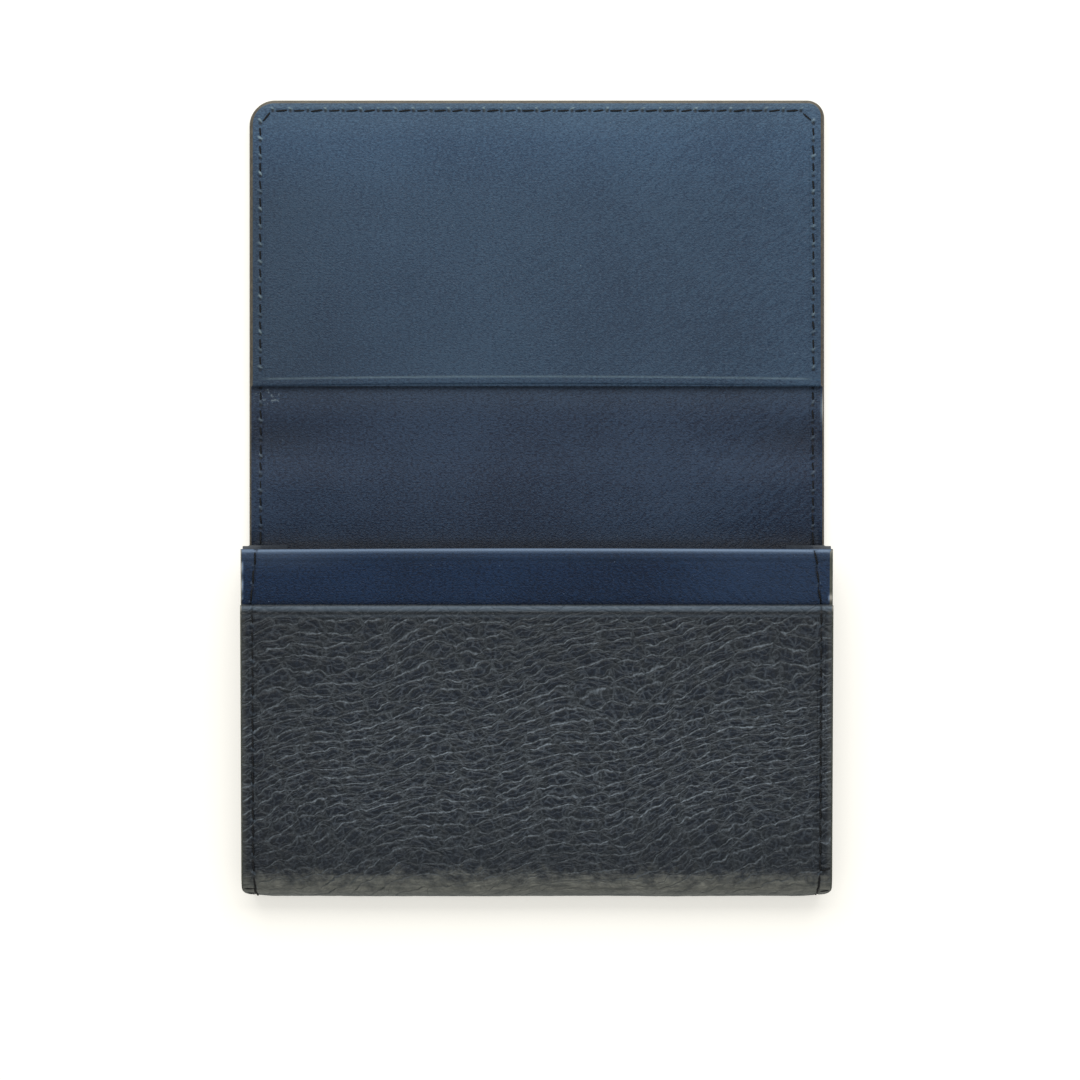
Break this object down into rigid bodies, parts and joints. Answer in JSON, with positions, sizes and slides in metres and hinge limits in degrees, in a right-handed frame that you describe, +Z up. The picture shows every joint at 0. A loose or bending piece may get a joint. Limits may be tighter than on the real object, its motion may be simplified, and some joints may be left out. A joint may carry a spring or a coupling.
{
  "type": "card holder",
  "caption": "Folding leather card holder with a gusseted pocket, a front slot behind the pocket wall, and a flat pocket in its flap.",
  "frame": {"origin": "centre of the open holder's footprint, on the surface that it lies on", "axes": "+X across the holder, +Y from the pocket's rounded bottom to the flap's free edge, +Z up, out of the back's outer face"},
  "size_m": [0.11, 0.1488, 0.0108],
  "materials": {
    "grained_leather": "shrunken pebble grain, satin, dark grey navy",
    "smooth_leather": "smooth fine grain, satin, navy",
    "lining_leather": "smooth split leather lining, satin, dark navy",
    "gusset_leather": "thin smooth leather, satin, dark navy",
    "stiffening_board": "dense grey-brown board, matt",
    "thread": "twisted waxed thread, near black navy"
  },
  "bodies": {
    "back": {"back_outer_leather": "grained_leather", "back_board": "stiffening_board", "back_lining": "lining_leather", "back_stitching": "thread", "gusset_left_rear_flange": "gusset_leather", "gusset_right_rear_flange": "gusset_leather"},
    "spine": {"spine_outer_leather": "grained_leather", "spine_lining": "lining_leather", "spine_stitching": "thread"},
    "flap": {"flap_outer_leather": "grained_leather", "flap_board": "stiffening_board", "flap_lining": "lining_leather", "flap_pocket_panel": "smooth_leather", "flap_stitching": "thread"},
    "front_pocket": {"front_outer_leather": "grained_leather", "divider_panel": "smooth_leather", "divider_lining": "lining_leather", "front_stitching": "thread", "gusset_left_front_flange": "gusset_leather", "gusset_right_front_flange": "gusset_leather"},
    "gusset_left_rear": {"gusset_left_rear_leaf": "gusset_leather"},
    "gusset_right_rear": {"gusset_right_rear_leaf": "gusset_leather"},
    "gusset_left_front": {"gusset_left_front_leaf": "gusset_leather"},
    "gusset_right_front": {"gusset_right_front_leaf": "gusset_leather"}
  },
  "joints": [
    {"name": "spine_fold", "type": "hinge", "parent": "back", "child": "spine", "pos_m": [0, -0.0064, 0.0006], "axis": [1, 0, 0], "range_deg": [0, 90]},
    {"name": "flap_fold", "type": "hinge", "parent": "spine", "child": "flap", "pos_m": [0, 0.0079, 0.0006], "axis": [1, 0, 0], "range_deg": [0, 93]},
    {"name": "pocket_press", "type": "hinge", "parent": "back", "child": "front_pocket", "pos_m": [0, -0.07055, 0.0068], "axis": [1, 0, 0], "range_deg": [-3, 0], "stiffness_Nm_per_rad": 0.08, "springref_deg": 11.46},
    {"name": "gusset_left_rear_fold", "type": "hinge", "parent": "back", "child": "gusset_left_rear", "pos_m": [-0.0512, -0.0704, 0.0026], "axis": [0, 1, 0], "range_deg": [0, 22]},
    {"name": "gusset_right_rear_fold", "type": "hinge", "parent": "back", "child": "gusset_right_rear", "pos_m": [0.0512, -0.0704, 0.0026], "axis": [0, 1, 0], "range_deg": [-22, 0]},
    {"name": "gusset_left_front_fold", "type": "hinge", "parent": "front_pocket", "child": "gusset_left_front", "pos_m": [-0.0512, -0.07045, 0.0049], "axis": [0, 0.9986, 0.0523], "range_deg": [-22, 0]},
    {"name": "gusset_right_front_fold", "type": "hinge", "parent": "front_pocket", "child": "gusset_right_front", "pos_m": [0.0512, -0.07045, 0.0049], "axis": [0, 0.9986, 0.0523], "range_deg": [0, 22]}
  ],
  "couplings": [
    {"joint": "flap_fold", "follows": "spine_fold", "ratio": 1.0333},
    {"joint": "gusset_left_rear_fold", "follows": "pocket_press", "ratio": -7.3332},
    {"joint": "gusset_right_rear_fold", "follows": "pocket_press", "ratio": 7.3332},
    {"joint": "gusset_left_front_fold", "follows": "pocket_press", "ratio": 7.3332},
    {"joint": "gusset_right_front_fold", "follows": "pocket_press", "ratio": -7.3332}
  ]
}
